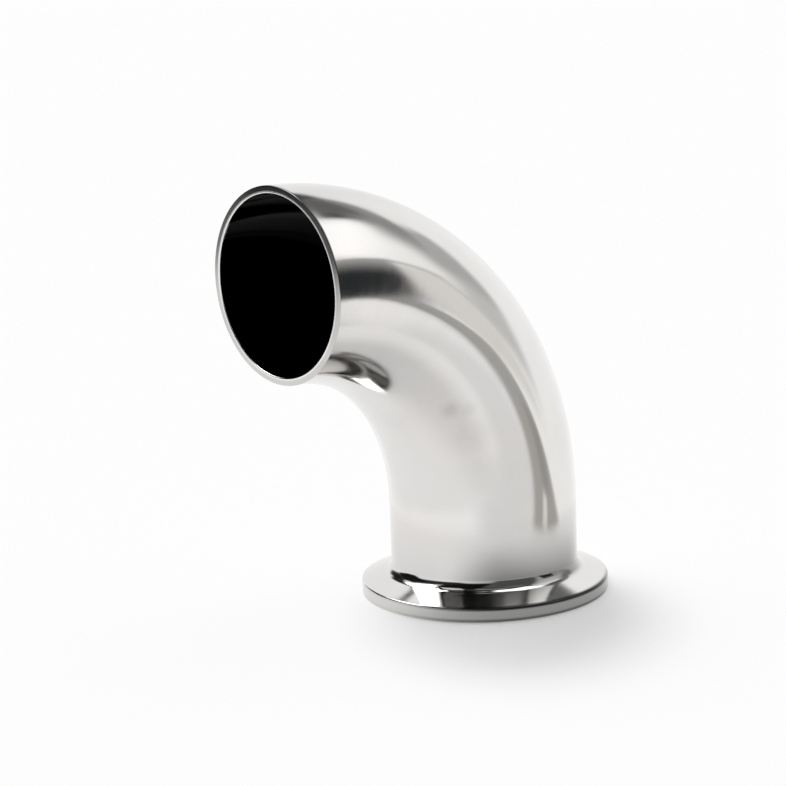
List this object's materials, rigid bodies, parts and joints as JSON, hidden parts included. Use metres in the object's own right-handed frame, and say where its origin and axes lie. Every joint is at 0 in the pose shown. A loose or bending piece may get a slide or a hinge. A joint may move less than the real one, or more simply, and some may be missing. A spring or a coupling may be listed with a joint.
{
  "type": "sanitary ninety degree elbow",
  "caption": "Polished stainless ninety degree tube elbow with a clamp ferrule at one end and a square weld end at the other.",
  "frame": {"origin": "centre of the clamp end's sealing face, on the ferrule's axis", "axes": "+Z along the ferrule's axis from the sealing face into the elbow, +X along the weld end's axis out of the elbow, and the bend lies in the XZ plane"},
  "size_m": [0.0761, 0.0506, 0.0889],
  "materials": {
    "polished_tube": "stainless steel tube, polished bright outside along the bend, finer inside",
    "turned_ferrule": "stainless steel, turned and polished round its axis"
  },
  "bodies": {
    "root": {"elbow_tube": "polished_tube", "clamp_ferrule": "turned_ferrule"}
  },
  "joints": []
}
